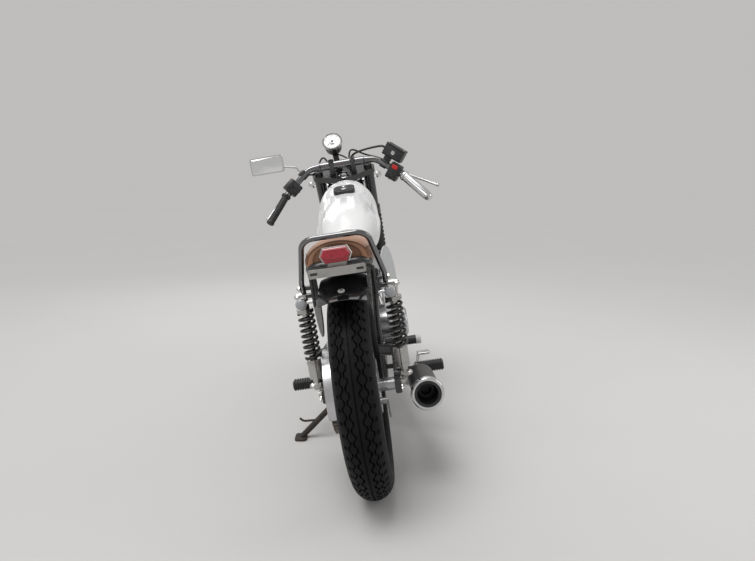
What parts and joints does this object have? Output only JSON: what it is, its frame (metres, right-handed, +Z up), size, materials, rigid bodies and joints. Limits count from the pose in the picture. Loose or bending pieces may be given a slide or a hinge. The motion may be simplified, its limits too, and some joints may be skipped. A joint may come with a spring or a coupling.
{
  "type": "motorcycle",
  "caption": "Street tracker motorcycle leaning on its side stand, with a white tank, humped brown seat in a chrome hoop, laced wheels and an open muffler.",
  "frame": {"origin": "on the ground under the middle of the machine's box, parked on its side stand", "axes": "+X towards the front wheel along the machine, +Y to the rider's left, +Z up"},
  "size_m": [2.0507, 0.8226, 1.1644],
  "materials": {
    "tyre": "dull black rubber",
    "wheel_alloy": "satin",
    "steel": "machined",
    "frame_black": "gloss black",
    "stand_black": "worn dark paint",
    "engine_alloy": "cast",
    "polished_alloy": "polished",
    "chrome": "bright",
    "muffler_black": "dark with bright ring",
    "tank_white": "gloss white",
    "cap_black": "satin black",
    "fender_black": "gloss black",
    "seat_leather": "tan brown",
    "black_plastic": "satin",
    "plate_grey": "light grey",
    "lens_red": "red lens",
    "rubber": "ribbed"
  },
  "bodies": {
    "frame": {"frame": "frame_black", "swingarm": "frame_black", "pivot_bolt": "steel", "crash_sliders": "black_plastic", "crankcase": "engine_alloy", "engine_covers": "polished_alloy", "cylinder": "engine_alloy", "cylinder_head": "engine_alloy", "exhaust_pipe": "chrome", "muffler": "muffler_black", "carburettor": "engine_alloy", "air_filter": "black_plastic", "electrics_box": "black_plastic", "fuel_tank": "tank_white", "filler_cap": "cap_black", "seat_pan": "black_plastic", "seat": "seat_leather", "grab_hoop": "chrome", "rear_fender": "fender_black", "plate_bracket": "polished_alloy", "tail_light": "lens_red", "rear_signals": "chrome", "shock_absorbers": "chrome", "shock_springs": "frame_black", "footpegs": "rubber", "foot_controls": "polished_alloy", "side_plates": "plate_grey", "chain": "steel", "drive_sprocket": "steel", "chain_guard": "polished_alloy", "rear_axle": "steel", "brake_plate": "wheel_alloy"},
    "steering": {"fork_clamps": "frame_black", "fork_tubes": "chrome", "fork_sliders": "frame_black", "fork_gaiters": "rubber", "handlebar": "chrome", "grips": "rubber", "bar_controls": "black_plastic", "hand_levers": "polished_alloy", "mirror": "chrome", "gauge": "black_plastic", "headlamp": "chrome", "headlamp_ears": "frame_black", "front_signals": "chrome", "front_fender": "fender_black", "brake_caliper": "polished_alloy", "front_axle": "steel"},
    "front_wheel": {"front_wheel": "wheel_alloy", "front_tyre": "tyre", "brake_disc": "steel"},
    "rear_wheel": {"rear_wheel": "wheel_alloy", "rear_tyre": "tyre", "sprocket": "steel"},
    "side_stand": {"side_stand": "stand_black"}
  },
  "joints": [
    {"name": "steering", "type": "hinge", "parent": "frame", "child": "steering", "pos_m": [0.35919, -0.01676, 0.87102], "axis": [-0.4536, 0.1317, 0.8814], "range_deg": [-34, 30]},
    {"name": "front_wheel_spin", "type": "hinge", "parent": "steering", "child": "front_wheel", "pos_m": [0.70055, -0.09706, 0.32125], "axis": [-0.0312, 0.9861, -0.1634], "continuous": true},
    {"name": "rear_wheel_spin", "type": "hinge", "parent": "frame", "child": "rear_wheel", "pos_m": [-0.68942, -0.09724, 0.33298], "axis": [-0.0001, 0.989, -0.1478], "continuous": true},
    {"name": "side_stand_fold", "type": "hinge", "parent": "frame", "child": "side_stand", "pos_m": [-0.26448, -0.03347, 0.17768], "axis": [-0.225, 0.8342, 0.5035], "range_deg": [0, 79.87]}
  ]
}
